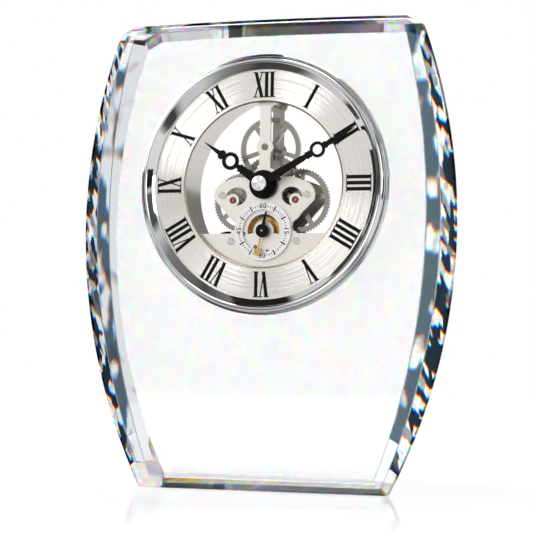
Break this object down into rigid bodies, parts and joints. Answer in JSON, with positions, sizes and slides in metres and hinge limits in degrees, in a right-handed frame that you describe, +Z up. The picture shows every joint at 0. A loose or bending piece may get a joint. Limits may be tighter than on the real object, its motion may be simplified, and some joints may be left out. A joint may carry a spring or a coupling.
{
  "type": "crystal_trophy_clock",
  "caption": "Bevelled barrel-shaped crystal award block with a chrome-bezelled skeleton clock, Roman dial ring and open gear train that turns",
  "frame": {"origin": "middle of the footprint, on the table, with the clock centred front to back", "axes": "+Z up, dial faces -Y, +X to the right as seen from the front"},
  "size_m": [0.157, 0.043, 0.1893],
  "materials": {
    "crystal": "clear optical crystal, polished, bevelled edges",
    "chrome": "polished",
    "dial": "brushed silver",
    "housing": "turned satin",
    "rubber": "matt black",
    "nickel": "satin nickel",
    "steel": "fine brushed",
    "ruby": "clear red jewel",
    "brass": "satin",
    "black": "satin black",
    "white": "printed white",
    "copper": "enamelled winding wire",
    "board": "green laminate"
  },
  "bodies": {
    "case": {"crystal_block": "crystal", "bezel_ring": "chrome", "dial_ring": "dial", "movement_housing": "housing", "grip_ring": "rubber", "front_plate": "nickel", "rear_plate": "nickel", "top_pillar": "steel", "top_front_screw": "steel", "top_rear_screw": "steel", "left_pillar": "steel", "left_front_screw": "steel", "left_rear_screw": "steel", "right_pillar": "steel", "right_front_screw": "steel", "right_rear_screw": "steel", "left_lobe_screw": "steel", "left_plate_screw": "steel", "right_lobe_screw": "steel", "right_plate_screw": "steel", "left_jewel": "ruby", "right_jewel": "ruby", "top_jewel": "ruby", "minute_wheel_post": "steel", "seconds_dial": "white", "stator": "steel", "coil_core": "steel", "coil_winding": "copper", "circuit_board": "board", "button_cell": "chrome", "cell_holder": "black"},
    "minute_arbor": {"centre_arbor": "steel", "cannon_pinion": "steel", "minute_hand": "black", "hand_nut": "steel", "setting_knob": "chrome"},
    "hour_pipe": {"hour_wheel": "steel", "hour_hand": "black", "hub_collar": "black"},
    "motion_wheel": {"minute_wheel": "brass"},
    "top_gear": {"top_wheel": "steel", "top_arbor": "steel"},
    "right_gear": {"right_wheel": "steel", "right_arbor": "steel"},
    "seconds_gear": {"seconds_wheel": "brass", "seconds_arbor": "steel", "seconds_hand": "brass"},
    "step_gear": {"step_wheel": "brass", "step_pinion": "steel"},
    "motor_rotor": {"rotor": "steel"},
    "third_gear": {"third_wheel": "brass", "third_arbor": "steel"},
    "left_gear": {"left_wheel": "steel", "left_arbor": "steel"},
    "centre_gear": {"centre_wheel": "steel"}
  },
  "joints": [
    {"name": "minute_turn", "type": "hinge", "parent": "case", "child": "minute_arbor", "pos_m": [0, 0, 0.1224], "axis": [0, 1, 0], "continuous": true},
    {"name": "hour_turn", "type": "hinge", "parent": "case", "child": "hour_pipe", "pos_m": [0, 0, 0.1224], "axis": [0, 1, 0], "continuous": true},
    {"name": "motion_turn", "type": "hinge", "parent": "case", "child": "motion_wheel", "pos_m": [0.0062, 0, 0.12466], "axis": [0, 1, 0], "continuous": true},
    {"name": "top_turn", "type": "hinge", "parent": "case", "child": "top_gear", "pos_m": [0, 0, 0.1376], "axis": [0, 1, 0], "continuous": true},
    {"name": "right_turn", "type": "hinge", "parent": "case", "child": "right_gear", "pos_m": [0.01323, 0, 0.11623], "axis": [0, 1, 0], "continuous": true},
    {"name": "seconds_turn", "type": "hinge", "parent": "case", "child": "seconds_gear", "pos_m": [0, 0, 0.1038], "axis": [0, 1, 0], "continuous": true},
    {"name": "step_turn", "type": "hinge", "parent": "case", "child": "step_gear", "pos_m": [-0.00339, 0, 0.09745], "axis": [0, 1, 0], "continuous": true},
    {"name": "rotor_turn", "type": "hinge", "parent": "case", "child": "motor_rotor", "pos_m": [0.00187, 0, 0.09553], "axis": [0, 1, 0], "continuous": true},
    {"name": "third_turn", "type": "hinge", "parent": "case", "child": "third_gear", "pos_m": [-0.00833, 0, 0.10269], "axis": [0, 1, 0], "continuous": true},
    {"name": "left_turn", "type": "hinge", "parent": "case", "child": "left_gear", "pos_m": [-0.01323, 0, 0.11623], "axis": [0, 1, 0], "continuous": true},
    {"name": "centre_turn", "type": "hinge", "parent": "case", "child": "centre_gear", "pos_m": [0, 0, 0.1224], "axis": [0, 1, 0], "continuous": true}
  ],
  "couplings": [
    {"joint": "hour_turn", "follows": "minute_turn", "ratio": 0.083333},
    {"joint": "motion_turn", "follows": "minute_turn", "ratio": -0.33333},
    {"joint": "top_turn", "follows": "minute_turn", "ratio": -0.18056},
    {"joint": "right_turn", "follows": "minute_turn", "ratio": -0.13333},
    {"joint": "step_turn", "follows": "seconds_turn", "ratio": -5},
    {"joint": "rotor_turn", "follows": "seconds_turn", "ratio": 30},
    {"joint": "third_turn", "follows": "seconds_turn", "ratio": 0.625},
    {"joint": "left_turn", "follows": "seconds_turn", "ratio": -0.125},
    {"joint": "centre_turn", "follows": "seconds_turn", "ratio": 0.016667}
  ]
}
